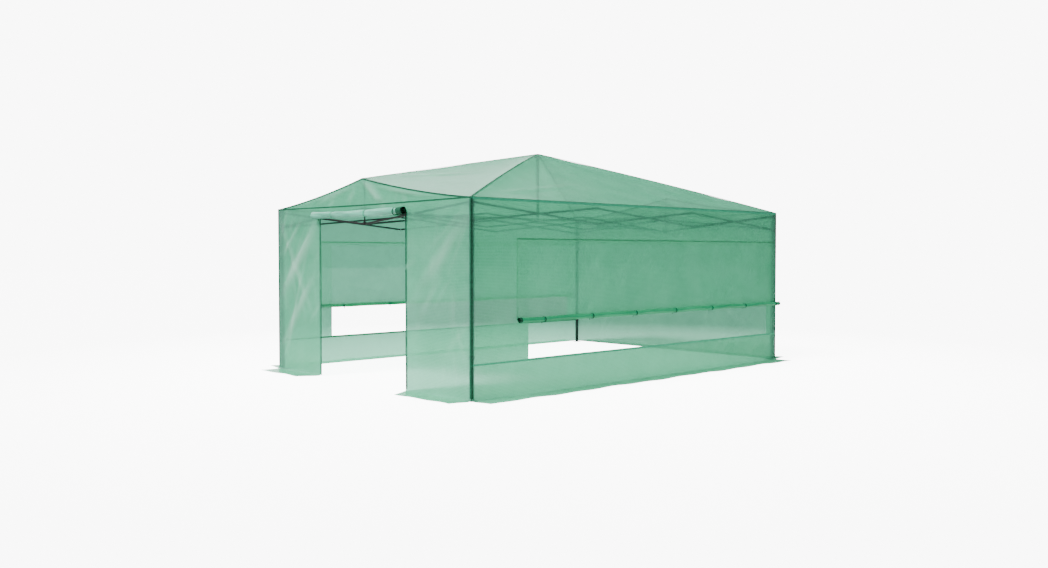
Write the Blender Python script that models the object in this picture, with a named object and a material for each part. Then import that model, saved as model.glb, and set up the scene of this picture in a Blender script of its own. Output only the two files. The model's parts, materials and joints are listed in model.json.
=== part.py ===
"""A walk-in pop-up greenhouse: a folding scissor frame of steel bars under a sewn film cover.

Metres, +Z up. The origin is on the ground under the middle of the plan. +X is the right side, seen
from the door, and the door wall faces -Y. The long sides run along Y.

Every bar of the frame has one length and pivots at its two ends and its middle, so the whole frame
folds as one linkage. The joint axes that the design needs are the bars' own pivots.
"""

import math

import bmesh
import bpy
from mathutils import Matrix, Vector

# ---- driving dimensions -------------------------------------------------------------------------
BAY = 1.480                      # plan length of one scissor pair, pivot to pivot, frame open
OPEN_ANGLE = math.radians(84.5)  # bar's angle from the vertical with the frame open
EAR_X = 0.034                    # leg axis to a bar pivot on the front and rear trusses
EAR_Y = 0.046                    # leg axis to a bar pivot on the long trusses
HUB_EAR = 0.026                  # middle hub's axis to its bar pivots
TOP_Z = 1.640                    # height of the upper pivots

LEG = 0.028                      # square leg tube
LEG_WALL = 0.0011
LEG_TOP = 1.652
FOOT_PLATE = 0.004
FOOT_OUT = 0.018                 # plate edge outside the leg axis
FOOT_IN = 0.060                  # plate edge inside the leg axis

BAR_H = 0.018                    # bar section, height by thickness
BAR_T = 0.010
BAR_WALL = 0.0009
BAR_END = 0.009                  # bar end past its pivot
PIN = 0.0030                     # pin radius
PIN_HOLE = 0.0036
PIN_HEAD = 0.0055
HEAD = 0.0015                    # thickness of a pin's head
GAP = 0.0005                     # side play between neighbours on one pin
CHEEK = 0.006                    # thickness of the ear that carries a pin

POLE = 0.020                     # square peak pole
POLE_TOP = 2.272
STRUT = 0.006                    # gable strut radius
STRUT_TOP = 1.896

FILM = 0.0006                    # film thickness
FILM_OUT = 0.028                 # leg axis to the film's inner face
EAVE_Z = 1.680
GABLE_Z = 1.920
APEX_Z = 2.310
SKIRT = 0.220                    # how far the ground flaps reach out
FLAP_END = 0.020                 # slant of a ground flap's end at a corner
FLAP_DOOR = 0.120                # and beside the doorway
DOOR_X = (-0.730, 0.680)
DOOR_TOP = 1.615
WINDOW_Y = (-1.646, 2.100)
WINDOW_Z = (0.310, 1.300)
FLAP_Y = (-1.783, 2.290)
FLAP_TOP = 1.350
ROLL_R = 0.0275                  # rolled-up window flap
ROLL_Z = 0.648
DOOR_ROLL_R = 0.040
DOOR_ROLL_X = (-0.800, 0.700)
DOOR_ROLL_Z = 1.600
SEAM = 0.0004                    # free gap between two neighbouring cover pieces

# ---- sizes that follow from them ----------------------------------------------------------------
BAR = BAY / math.sin(OPEN_ANGLE)
DROP = BAR * math.cos(OPEN_ANGLE)
LOW_Z = TOP_Z - DROP
HALF_W = BAY + EAR_X + HUB_EAR
HALF_D = 1.5 * BAY + EAR_Y
TILT = math.pi / 2 - OPEN_ANGLE
SLIM = BAR_T / 2 + GAP                   # bar centre plane to truss plane, bars side by side
WIDE = BAR_T / 2 + POLE / 2 + 2 * GAP    # the same where the peak pole stands between the bars
FILM_X = HALF_W + FILM_OUT
FILM_Y = HALF_D + FILM_OUT


# ---- modelling helpers --------------------------------------------------------------------------
def tool(name, bm):
    """A helper object from a bmesh, later used up by shape()."""
    bmesh.ops.recalc_face_normals(bm, faces=bm.faces[:])
    mesh = bpy.data.meshes.new(name)
    bm.to_mesh(mesh)
    bm.free()
    obj = bpy.data.objects.new(name, mesh)
    obj.hide_render = True
    obj.display_type = "WIRE"
    bpy.context.collection.objects.link(obj)
    return obj


def block(low, high):
    """A box between two opposite corners."""
    low, high = Vector(low), Vector(high)
    bm = bmesh.new()
    bmesh.ops.create_cube(bm, size=1.0)
    bmesh.ops.scale(bm, vec=high - low, verts=bm.verts[:])
    bmesh.ops.translate(bm, vec=(low + high) / 2, verts=bm.verts[:])
    return tool("block", bm)


def rod(radius, start, end, sides=8):
    """A cylinder from start to end."""
    start, end = Vector(start), Vector(end)
    turn = (end - start).to_track_quat("Z", "Y").to_matrix().to_4x4()
    bm = bmesh.new()
    place = Matrix.Translation((start + end) / 2) @ turn @ Matrix.Rotation(math.pi / sides, 4, "Z")
    bmesh.ops.create_cone(bm, cap_ends=True, segments=sides, radius1=radius, radius2=radius,
                          depth=(end - start).length, matrix=place)
    return tool("rod", bm)


def plate(outline, offset):
    """A flat or folded sheet: the outline's faces, thickened by the vector offset."""
    points, faces = outline
    bm = bmesh.new()
    verts = [bm.verts.new(p) for p in points]
    sheet = [bm.faces.new([verts[i] for i in face]) for face in faces]
    out = bmesh.ops.extrude_face_region(bm, geom=sheet)
    moved = [v for v in out["geom"] if isinstance(v, bmesh.types.BMVert)]
    bmesh.ops.translate(bm, vec=offset, verts=moved)
    return tool("plate", bm)


def shape(base, add=(), cut=()):
    """The mesh of base with tools joined to it and then cut from it; the tools are used up."""
    for operation, tools in (("UNION", add), ("DIFFERENCE", cut)):
        for other in tools:
            step = base.modifiers.new("step", "BOOLEAN")
            step.operation = operation
            step.object = other
            step.solver = "EXACT"
    bpy.context.view_layer.update()
    done = base.evaluated_get(bpy.context.evaluated_depsgraph_get())
    mesh = bpy.data.meshes.new_from_object(done)
    for spent in (base, *add, *cut):
        bpy.data.objects.remove(spent, do_unlink=True)
    return mesh


def material(name, colour, roughness, metallic=0.0):
    mat = bpy.data.materials.new(name)
    mat.use_nodes = True
    shader = mat.node_tree.nodes["Principled BSDF"]
    shader.inputs["Base Color"].default_value = (*colour, 1.0)
    shader.inputs["Roughness"].default_value = roughness
    shader.inputs["Metallic"].default_value = metallic
    return mat


def part(name, mesh, mat, place=Matrix()):
    """One named sub-part of the greenhouse."""
    obj = bpy.data.objects.new(name, mesh)
    obj.matrix_world = place
    bpy.context.collection.objects.link(obj)
    if not mesh.materials:
        mesh.materials.append(mat)
    mesh.shade_smooth()
    mesh.set_sharp_from_angle(angle=math.radians(30))
    return obj


# ---- the scissor bars ---------------------------------------------------------------------------
def bar_mesh(plane, pins):
    """A bar along X, centred on its middle pivot, lying |plane| beside the truss plane.

    plane is the bar's own side: +d for the bars that fall away from the start, -d for those that
    rise. A rising bar carries the pins listed in pins (-1, 0 or 1 half lengths along it), which
    pass through the falling bar. Every other pivot is a hole.
    """
    reach = BAR / 2 + BAR_END
    wall = Vector((-0.01, BAR_WALL, BAR_WALL))
    low = Vector((-reach, plane - BAR_T / 2, -BAR_H / 2))
    high = Vector((reach, plane + BAR_T / 2, BAR_H / 2))
    far = -plane + BAR_T / 2
    steel, holes = [], [block(low + wall, high - wall)]
    for end in (-1, 0, 1):
        x = end * BAR / 2
        if end in pins:
            steel.append(rod(PIN, (x, low.y + BAR_WALL / 2, 0), (x, far + GAP + HEAD / 2, 0)))
            steel.append(rod(PIN_HEAD, (x, far + GAP, 0), (x, far + GAP + HEAD, 0)))
        else:
            holes.append(rod(PIN_HOLE, (x, low.y - 0.01, 0), (x, high.y + 0.01, 0)))
    tube = shape(block(low, high), cut=holes)
    if not steel:
        return tube
    tube_object = bpy.data.objects.new("tube", tube)
    bpy.context.collection.objects.link(tube_object)
    return shape(tube_object, add=steel)


def truss_place(start, turn, bay, rising):
    """Where a bar's centre goes: bay counts the scissor pairs from the start of the truss."""
    along = Matrix.Rotation(turn, 4, "Z")
    centre = Vector((bay, 0, (TOP_Z + LOW_Z) / 2))
    tilt = Matrix.Rotation(-TILT if rising else TILT, 4, "Y")
    return Matrix.Translation(start) @ along @ Matrix.Translation(centre) @ tilt


def short_truss(side, y, falling, rising, mat):
    """Two scissor pairs from the left leg over the middle hub to the right leg."""
    start = Vector((-HALF_W, y, 0))
    centres = (EAR_X + BAY / 2, EAR_X + BAY + 2 * HUB_EAR + BAY / 2)
    for i, bay in enumerate(centres):
        part(f"{side}_bar_falling_{i + 1}", falling, mat, truss_place(start, 0, bay, False))
        part(f"{side}_bar_rising_{i + 1}", rising, mat, truss_place(start, 0, bay, True))


def long_truss(side, x, falling, rising, mat):
    """Three scissor pairs along a long side, their ends pinned straight to each other."""
    start = Vector((x, -HALF_D, 0))
    for i in range(3):
        bay = EAR_Y + (i + 0.5) * BAY
        place = truss_place(start, math.pi / 2, bay, True)
        part(f"{side}_bar_falling_{i + 1}", falling, mat, truss_place(start, math.pi / 2, bay, False))
        part(f"{side}_bar_rising_{i + 1}", rising[i], mat, place)


# ---- brackets, sliders and hubs -----------------------------------------------------------------
def ear(turn, offset, height, plane):
    """A cheek with its pin, reaching out along the direction turn to a pivot at offset.

    plane is the side of the truss plane where the bar on this pin lies, seen along the truss.
    """
    side = 1 if plane > 0 else -1
    inner = side * (abs(plane) - BAR_T / 2 - GAP)
    outer = side * (abs(plane) + BAR_T / 2)
    lows, highs = sorted((inner - side * CHEEK, inner))
    pieces = [
        block((0.011, lows, height - 0.010), (offset + 0.008, highs, height + 0.010)),
        rod(PIN, (offset, inner - side * CHEEK / 2, height),
            (offset, outer + side * (GAP + HEAD / 2), height)),
        rod(PIN_HEAD, (offset, outer + side * GAP, height),
            (offset, outer + side * (GAP + HEAD), height)),
    ]
    for piece in pieces:
        piece.data.transform(Matrix.Rotation(turn, 4, "Z"))
    return pieces


def bracket_mesh(low, high, closed, ears):
    """A square sleeve on the leg between two heights, with ears; closed puts a lid on it."""
    half = LEG / 2 + 0.004
    bore = LEG / 2 + 0.0004
    lid = 0.010 if closed else -0.01
    pieces = [piece for one in ears for piece in ear(*one)]
    sleeve = block((-half, -half, low), (half, half, high))
    return shape(sleeve, add=pieces, cut=[block((-bore, -bore, low - 0.01), (bore, bore, high - lid))])


def hub_mesh(height, rise, hole, ears):
    """A middle hub: a small square block with an upright hole and three ears."""
    low, high = height - 0.014, height + rise
    pieces = [piece for one in ears for piece in ear(*one)]
    body = block((-0.012, -0.012, low), (0.012, 0.012, high))
    radius, floor = hole
    return shape(body, add=pieces, cut=[rod(radius, (0, 0, floor), (0, 0, high + 0.01), 10)])


def corner_ears(right, rear, height, side):
    """The two ears at one leg. side is +1 for upper pivots and -1 for lower ones.

    At the start of a truss the falling bar is the high one, and at its end the rising bar is, but
    the ear there points the other way, so every upper bar lies on the same side of its ear.
    """
    x_turn = math.pi if right else 0.0
    y_turn = -math.pi / 2 if rear else math.pi / 2
    return [(x_turn, EAR_X, height, side * SLIM), (y_turn, EAR_Y, height, side * SLIM)]


def hub_ears(rear, height, side):
    """Ears to the left, to the right and into the middle truss, with side as in corner_ears."""
    inward = -math.pi / 2 if rear else math.pi / 2
    return [(math.pi, HUB_EAR, height, side * SLIM), (0.0, HUB_EAR, height, side * SLIM),
            (inward, EAR_Y, height, side * WIDE)]


def leg_mesh(right, rear):
    """A square tube standing on its welded foot plate, which reaches inwards and has a peg hole."""
    sx, sy = (-1 if right else 1), (-1 if rear else 1)
    half = LEG / 2
    bore = half - LEG_WALL
    xs = sorted((-sx * FOOT_OUT, sx * FOOT_IN))
    ys = sorted((-sy * FOOT_OUT, sy * FOOT_IN))
    foot = block((xs[0], ys[0], 0), (xs[1], ys[1], FOOT_PLATE))
    peg = (sx * 0.040, sy * 0.040)
    tube = block((-half, -half, FOOT_PLATE / 2), (half, half, LEG_TOP))
    cuts = [block((-bore, -bore, FOOT_PLATE), (bore, bore, LEG_TOP + 0.01)),
            rod(0.005, (*peg, -0.01), (*peg, 0.02))]
    return shape(tube, add=[foot], cut=cuts)


def corner_name(right, rear):
    return ("rear" if rear else "front") + ("_right" if right else "_left")


def corners(steel, black):
    """The four legs with their top brackets and sliders."""
    for rear in (False, True):
        for right in (False, True):
            name = corner_name(right, rear)
            place = Matrix.Translation((HALF_W if right else -HALF_W, HALF_D if rear else -HALF_D, 0))
            part(f"leg_{name}", leg_mesh(right, rear), steel, place)
            top = bracket_mesh(TOP_Z - 0.040, LEG_TOP + 0.0104, True, corner_ears(right, rear, TOP_Z, 1))
            part(f"corner_bracket_{name}", top, black, place)
            low = bracket_mesh(LOW_Z - 0.030, LOW_Z + 0.024, False, corner_ears(right, rear, LOW_Z, -1))
            part(f"slider_{name}", low, black, place)


def hubs(steel, black):
    """The middle hubs of the front and rear trusses, and the gable struts that they carry."""
    for rear in (False, True):
        side = "rear" if rear else "front"
        place = Matrix.Translation((0, HALF_D if rear else -HALF_D, 0))
        guide = (STRUT + 0.0015, TOP_Z - 0.05)
        socket = (STRUT + 0.0005, LOW_Z - 0.006)
        upper = hub_mesh(TOP_Z, 0.014, guide, hub_ears(rear, TOP_Z, 1))
        lower = hub_mesh(LOW_Z, 0.020, socket, hub_ears(rear, LOW_Z, -1))
        part(f"{side}_hub_upper", upper, black, place)
        part(f"{side}_hub_lower", lower, black, place)
        low = LOW_Z - 0.0056
        cap = rod(0.012, (0, 0, STRUT_TOP - 0.002), (0, 0, STRUT_TOP + 0.006), 10)
        strut = shape(rod(STRUT, (0, 0, low), (0, 0, STRUT_TOP), 10), add=[cap],
                      cut=[rod(STRUT - 0.001, (0, 0, low - 0.01), (0, 0, STRUT_TOP - 0.02), 10)])
        part(f"{side}_gable_strut", strut, steel, place)


def peak(steel, black):
    """The peak pole, hung on the middle pin of the middle truss, and the cap under the film."""
    half = POLE / 2
    bore = half - 0.001
    middle = (TOP_Z + LOW_Z) / 2
    low = middle - 0.025
    pole = shape(block((-half, -half, low), (half, half, POLE_TOP)),
                 cut=[block((-bore, -bore, low - 0.01), (bore, bore, POLE_TOP + 0.01)),
                      rod(PIN_HOLE, (-0.02, 0, middle), (0.02, 0, middle))])
    part("peak_pole", pole, steel)
    crown = rod(0.040, (0, 0, POLE_TOP - 0.006), (0, 0, POLE_TOP + 0.006), 16)
    knob = rod(0.018, (0, 0, POLE_TOP), (0, 0, POLE_TOP + 0.018), 16)
    sleeve = rod(0.019, (0, 0, POLE_TOP - 0.045), (0, 0, POLE_TOP), 16)
    bore = half + 0.0004
    room = block((-bore, -bore, POLE_TOP - 0.06), (bore, bore, POLE_TOP + 0.0004))
    part("peak_cap", shape(crown, add=[knob, sleeve], cut=[room]), black)


# ---- the cover ----------------------------------------------------------------------------------
def roof_half(side):
    """The roof plane over a long side, from its eave up to the apex."""
    x, y = FILM_X + FILM, FILM_Y + FILM - 1.5 * SEAM
    points = [(side * x, -y, EAVE_Z), (side * x, y, EAVE_Z), (side * SEAM, 0, APEX_Z)]
    return shape(plate((points, [(0, 1, 2)]), (0, 0, FILM)))


def roof_end(side):
    """The two roof planes over the front or rear, which meet in the ridge from gable to apex."""
    x, y = FILM_X + FILM, FILM_Y + FILM
    points = [(-x, side * y, EAVE_Z), (0, side * y, GABLE_Z), (x, side * y, EAVE_Z), (0, 0, APEX_Z)]
    return shape(plate((points, [(0, 1, 3), (1, 2, 3)]), (0, 0, FILM)))


def skirt(start, end, out, slants=(FLAP_END, FLAP_END)):
    """A ground flap along the foot of a wall, its two ends cut back by the slants."""
    start, end, out = Vector(start), Vector(end), Vector(out)
    along = (end - start).normalized()
    inset = along * 0.001
    tuck = -out.normalized() * FILM / 2
    points = [start + inset + tuck, end - inset + tuck,
              end + out - along * slants[1], start + out + along * slants[0]]
    return plate(([tuple(p) for p in points], [(0, 1, 2, 3)]), (0, 0, FILM * 1.3))


def end_wall(side, door):
    """A front or rear wall with its gable; the door opening runs from the ground up."""
    x, y = FILM_X - SEAM, side * (FILM_Y + FILM)
    foot, eave, peak_z = FILM / 3, EAVE_Z - SEAM, GABLE_Z - SEAM
    outline = [(-x, foot), (x, foot), (x, eave), (0, peak_z), (-x, eave)]
    flaps = [(-x, x, (FLAP_END, FLAP_END))]
    if door:
        left, right = DOOR_X
        doorway = [(left, foot), (left, DOOR_TOP), (right, DOOR_TOP), (right, foot)]
        outline = outline[:1] + doorway + outline[1:]
        flaps = [(-x, left, (FLAP_END, FLAP_DOOR)), (right, x, (FLAP_DOOR, FLAP_END))]
    points = [(px, y, pz) for px, pz in outline]
    wall = plate((points, [tuple(range(len(points)))]), (0, -side * FILM, 0))
    skirts = [skirt((a, y, 0), (b, y, 0), (0, side * SKIRT, 0), slants) for a, b, slants in flaps]
    return shape(wall, add=skirts)


def side_wall(side):
    """A long wall with its window opening."""
    x, y = side * (FILM_X + FILM), FILM_Y - SEAM
    top = EAVE_Z - SEAM
    foot = FILM / 3
    outline = [(-y, foot), (y, foot), (y, top), (-y, top)]
    wall = plate(([(x, py, pz) for py, pz in outline], [(0, 1, 2, 3)]), (-side * FILM, 0, 0))
    window = block((min(x - 0.1, x + 0.1), WINDOW_Y[0], WINDOW_Z[0]),
                   (max(x - 0.1, x + 0.1), WINDOW_Y[1], WINDOW_Z[1]))
    return shape(wall, add=[skirt((x, -y, 0), (x, y, 0), (side * SKIRT, 0, 0))], cut=[window])


def roll(radius, start, end):
    """A rolled-up flap: a thick tube of wound film, open at its ends."""
    along = (Vector(end) - Vector(start)).normalized() * 0.01
    core = rod(radius * 0.72, Vector(start) - along, Vector(end) + along, 16)
    return shape(rod(radius, start, end, 16), cut=[core])


def cover(film, rolled):
    """Roof, walls, window flaps and the rolled-up door."""
    for name, side in (("right", 1), ("left", -1)):
        part(f"roof_{name}", roof_half(side), film)
        part(f"wall_{name}", side_wall(side), film)
        inner = FILM_X + FILM + SEAM
        xs = sorted((side * inner, side * (inner + FILM)))
        flap = shape(block((xs[0], FLAP_Y[0], ROLL_Z), (xs[1], FLAP_Y[1], FLAP_TOP)))
        part(f"window_flap_{name}", flap, film)
        x = side * (inner + FILM + SEAM + ROLL_R)
        wound = roll(ROLL_R, (x, FLAP_Y[0], ROLL_Z), (x, FLAP_Y[1] + 0.03, ROLL_Z))
        part(f"window_roll_{name}", wound, rolled)
    part("roof_front", roof_end(-1), film)
    part("roof_rear", roof_end(1), film)
    part("wall_front", end_wall(-1, True), film)
    part("wall_rear", end_wall(1, False), film)
    y = -(FILM_Y + FILM + SEAM + DOOR_ROLL_R)
    left, right = DOOR_ROLL_X
    part("door_roll", roll(DOOR_ROLL_R, (left, y, DOOR_ROLL_Z), (right, y, DOOR_ROLL_Z)), rolled)


def main():
    for obj in list(bpy.data.objects):
        bpy.data.objects.remove(obj, do_unlink=True)

    steel = material("black_powder_coated_steel", (0.020, 0.021, 0.022), 0.45)
    black = material("black_nylon", (0.016, 0.016, 0.017), 0.55)
    film = material("green_film", (0.36, 0.62, 0.47), 0.50)
    rolled = material("green_film_rolled", (0.12, 0.46, 0.28), 0.50)

    falling = bar_mesh(SLIM, ())
    falling_wide = bar_mesh(WIDE, ())
    pins = {"middle": (0,), "first": (0, 1), "both": (-1, 0, 1), "last": (-1, 0)}
    rising = {name: bar_mesh(-SLIM, at) for name, at in pins.items()}
    rising_wide = {name: bar_mesh(-WIDE, pins[name]) for name in ("first", "both", "last")}
    order = ("first", "both", "last")

    short_truss("front", -HALF_D, falling, rising["middle"], steel)
    short_truss("rear", HALF_D, falling, rising["middle"], steel)
    for side, x in (("left", -HALF_W), ("right", HALF_W)):
        long_truss(side, x, falling, [rising[name] for name in order], steel)
    long_truss("middle", 0, falling_wide, [rising_wide[name] for name in order], steel)
    corners(steel, black)
    hubs(steel, black)
    peak(steel, black)
    cover(film, rolled)


main()
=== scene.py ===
# %% [markdown]
# # A pop-up greenhouse
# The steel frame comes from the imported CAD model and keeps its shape. This lesson dresses it: it gives
# the bars, legs and brackets their real finishes, and replaces the flat panels of the cover with sheets
# of woven film that sag, crease and lie on the ground. Every length is in metres.

# %% Load the frame
import json
import math

import bmesh
import bpy
import numpy as np
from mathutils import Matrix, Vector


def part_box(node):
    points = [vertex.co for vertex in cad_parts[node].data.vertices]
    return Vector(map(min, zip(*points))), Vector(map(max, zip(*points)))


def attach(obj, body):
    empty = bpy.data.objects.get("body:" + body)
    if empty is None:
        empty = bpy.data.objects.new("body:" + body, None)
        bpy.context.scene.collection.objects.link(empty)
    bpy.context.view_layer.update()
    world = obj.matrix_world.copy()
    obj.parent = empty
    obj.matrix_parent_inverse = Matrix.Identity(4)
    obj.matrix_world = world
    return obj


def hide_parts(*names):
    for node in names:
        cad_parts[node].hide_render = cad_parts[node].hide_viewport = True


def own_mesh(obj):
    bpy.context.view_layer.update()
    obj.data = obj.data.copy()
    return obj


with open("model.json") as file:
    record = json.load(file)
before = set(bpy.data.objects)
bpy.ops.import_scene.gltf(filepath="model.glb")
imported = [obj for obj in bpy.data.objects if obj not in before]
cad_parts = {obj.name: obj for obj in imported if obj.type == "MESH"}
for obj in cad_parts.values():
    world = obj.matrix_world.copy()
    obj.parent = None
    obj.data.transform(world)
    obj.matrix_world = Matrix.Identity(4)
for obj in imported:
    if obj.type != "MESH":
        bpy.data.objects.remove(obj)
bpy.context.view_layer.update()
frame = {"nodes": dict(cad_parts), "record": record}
nodes = frame["nodes"]

# %% [markdown]
# ## Measures from the frame
# The cover's corners, its gable and apex heights, the ground flaps' reach and the window flaps and rolls
# are read from the CAD nodes' boxes, so the film meets the frame without any fitting. The numbers written
# out are cut sizes that a box can't give, such as the openings, and the places of the leg axes and the
# pivots.

# %% The main lines of the cover
roof_low, roof_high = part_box("roof_front")
flap_low, flap_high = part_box("window_flap_right")
roll_low, roll_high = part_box("window_roll_right")
roll_z = (roll_low.z + roll_high.z) / 2
roll_radius = (roll_high.z - roll_low.z) / 2
roll_x = (roll_low.x + roll_high.x) / 2
side_x = roof_high.x  # outer face of the long walls
end_y = -roof_low.y  # outer face of the end walls
eave_z = 1.680
gable_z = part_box("wall_front")[1].z
apex_z = roof_high.z
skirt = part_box("wall_right")[1].x - side_x  # how far a ground flap reaches out
door = (-0.730, 0.680)
door_top = 1.615
window_y = (-1.646, 2.100)
window_z = (0.310, 1.300)
hem_z = 1.350  # the window flap is sewn on here
SEAM = 0.012  # width of a sewn edge
flap_y = (flap_low.y, flap_high.y - SEAM)
margin_y = (flap_y[0] + SEAM, flap_y[1] - SEAM)
leg_x, leg_y = 1.540, 2.266  # leg axes
gable_sag = 0.024  # the gable's edge hangs this much below a straight line
hip_proud = 0.016  # the hips stand this much above a straight line
SIDES = (("right", 1), ("left", -1))
ENDS = (("front", -1), ("rear", 1))
CORNERS = [(f"{end}_{side}", sx, sy) for end, sy in ENDS for side, sx in reversed(SIDES)]
UP = np.array((0, 0, 1))
print("cover", round(2 * side_x, 3), "x", round(2 * end_y, 3), "m, apex", round(apex_z, 3))

# %% [markdown]
# ## Surfaces from numpy
# A sheet is a grid: the columns run along the wall and the rows run up it. Three arrays hold the whole
# surface, so a sag or a crease is one sum over all points at once. Blender gets the finished grid.

# %% A grid of points becomes a sheet
def unit(v):
    return v / np.maximum(np.linalg.norm(v, axis=-1, keepdims=True), 1e-12)


def joined(*parts):
    """Arrays and numbers stretched to one shape and put side by side, as coordinates are."""
    return np.stack(np.broadcast_arrays(*parts), -1)


def stations(breaks, step):
    """Numbers from the first break to the last, about a step apart, that hit every break exactly."""
    runs = [np.linspace(a, b, max(2, round((b - a) / step) + 1))[:-1]
            for a, b in zip(breaks, breaks[1:])]
    return np.append(np.concatenate(runs), breaks[-1])


def grid_area(points, keep=...):
    """A quad's area is half the length of the cross product of its diagonals."""
    across = np.cross(points[1:, 1:] - points[:-1, :-1], points[:-1, 1:] - points[1:, :-1])
    return float((np.linalg.norm(across, axis=-1) / 2)[keep].sum())


def into_scene(name, mesh, finishes, near, thin, outwards=False):
    """Merges points nearer than near, drops what is thinner than thin, and adds the finishes."""
    work = bmesh.new()
    work.from_mesh(mesh)
    bmesh.ops.remove_doubles(work, verts=work.verts, dist=near)
    bmesh.ops.dissolve_degenerate(work, edges=work.edges, dist=thin)
    if outwards:
        bmesh.ops.recalc_face_normals(work, faces=work.faces)
    work.to_mesh(mesh)
    work.free()
    for finish in finishes:
        mesh.materials.append(finish)
    piece = bpy.data.objects.new(name, mesh)
    bpy.context.scene.collection.objects.link(piece)
    return piece


def sheet_piece(name, points, flat, finishes, keep=None, flip=False, edge=None, fold_white_and_sheen=None):
    """Quads between neighbouring points; flat is each point's place on the cloth, for the weave.
    Where edge is true, the face takes the second material. The last argument is 1 where a fold has
    turned the film white and carries a painted highlight. Points that coincide are merged."""
    rows, columns = points.shape[:2]
    corner = np.arange(rows * columns).reshape(rows, columns)
    quads = np.stack([corner[:-1, :-1], corner[:-1, 1:], corner[1:, 1:], corner[1:, :-1]], -1)
    keep = np.ones((rows - 1, columns - 1), bool) if keep is None else keep
    quads = quads[keep][:, ::-1] if flip else quads[keep]
    used, local = np.unique(quads, return_inverse=True)
    local = local.reshape(-1, 4)
    mesh = bpy.data.meshes.new(name)
    mesh.from_pydata(points.reshape(-1, 3)[used].tolist(), [], local.tolist())
    uv = mesh.uv_layers.new(name="Flat")
    uv.data.foreach_set("uv", flat.reshape(-1, 2)[quads.ravel()].astype(np.float32).ravel())
    if edge is not None:
        mesh.polygons.foreach_set("material_index", edge[keep].astype(np.int32))
    # A point value for the pale folds: stress-whitening and a painted highlight along the creases.
    if fold_white_and_sheen is not None:
        whitened_and_sheen = mesh.attributes.new("FoldWhiteAndSheen", "FLOAT", "POINT")
        whitened_and_sheen.data.foreach_set("value", fold_white_and_sheen.ravel()[used].astype(np.float32))
    piece = into_scene(name, mesh, finishes, 2e-5, 2e-5)
    mesh.shade_smooth()
    return piece


# %% [markdown]
# ## Sags and creases
# Film that is held at its edges never stays flat. It bellies slowly over a metre, and it keeps the sharp
# creases of its folded pack. The slow part is a few long waves. A crease is a line with a bell-shaped
# cross-section that fades out at both ends. Both start from fixed seeds, so each run gives the same film.

# %% Two height fields
def billow(u, v, length, height, seed):
    """The mean of six plane waves of random direction and phase, of about that length."""
    rng = np.random.default_rng(seed)
    turn, phase = rng.uniform(0, math.tau, (2, 6))
    rate = math.tau / (length * rng.uniform(0.7, 1.5, 6))
    wave = np.sin((u[..., None] * np.cos(turn) + v[..., None] * np.sin(turn)) * rate + phase)
    return height * wave.mean(-1) * 1.6


def creases(u, v, lines):
    """Each line holds start u, start v, end u, end v, height and width. A point rises by the height
    times exp(-(distance / width)^2) times sin(pi t), where t runs from 0 to 1 along the line."""
    lines = np.asarray(lines, float)
    start, along = lines[:, :2], lines[:, 2:4] - lines[:, :2]
    reach = np.linalg.norm(along, axis=1)
    du, dv = u[..., None] - start[:, 0], v[..., None] - start[:, 1]
    t = (du * along[:, 0] + dv * along[:, 1]) / reach ** 2
    off = (du * along[:, 1] - dv * along[:, 0]) / reach
    fade = np.where((t > 0) & (t < 1), np.sin(np.pi * np.clip(t, 0, 1)), 0)
    return (lines[:, 4] * np.exp(-(off / lines[:, 5]) ** 2) * fade).sum(-1)


def crease_lines(seed, low, high, count, angle, height, length=(0.2, 0.7)):
    """Random crease lines inside a rectangle, most of them at about the angle given."""
    rng = np.random.default_rng(seed)
    middle = rng.uniform(low, high, (count, 2))
    turn = angle + rng.normal(0, 0.5, count)
    half = rng.uniform(*length, count)[:, None] / 2 * np.stack([np.cos(turn), np.sin(turn)], 1)
    size = height * rng.uniform(0.4, 1.0, count) * rng.choice([-1, 1], count)
    width = rng.uniform(0.012, 0.035, count)
    return np.column_stack([middle - half, middle + half, size, width])


def ease(x, reach):
    """0 at 0 and 1 from reach on, with a smooth start and end."""
    t = np.clip(x / reach, 0, 1)
    return t * t * (3 - 2 * t)


# %% [markdown]
# ## Colours and nodes
# Colours are written as the screen shows them and turned to the linear values that a shader needs. One
# helper adds every node, so a finish reads as a list of what it is made of.

# %% Helpers for the finishes
def linear(colour, alpha=1.0):
    """A hex sRGB colour as linear red, green, blue and alpha."""
    parts = np.array([int(colour[i:i + 2], 16) for i in (1, 3, 5)]) / 255
    parts = np.where(parts <= 0.04045, parts / 12.92, ((parts + 0.055) / 1.055) ** 2.4)
    return (*parts.tolist(), alpha)


def node(tree, kind, inputs=(), **settings):
    """Adds a node. An input is a plain value, an output to link, or a node for its first output."""
    new = tree.nodes.new("ShaderNode" + kind)
    for key, value in settings.items():
        setattr(new, key, value)
    for key, value in dict(inputs).items():
        if isinstance(value, bpy.types.Node):
            value = value.outputs[0]
        if isinstance(value, bpy.types.NodeSocket):
            tree.links.new(value, new.inputs[key])
        else:
            new.inputs[key].default_value = value
    return new


def new_finish(name):
    finish = bpy.data.materials.new(name)
    finish.use_nodes = True
    finish.node_tree.nodes.clear()
    return finish, finish.node_tree


def two_tones(tree, factor, low, high, start, end):
    """A colour that goes from low to high while the factor goes from start to end."""
    share = node(tree, "MapRange", {"Value": factor, "From Min": start, "From Max": end})
    return node(tree, "MixRGB", {"Fac": share, "Color1": linear(low), "Color2": linear(high)})
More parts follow.
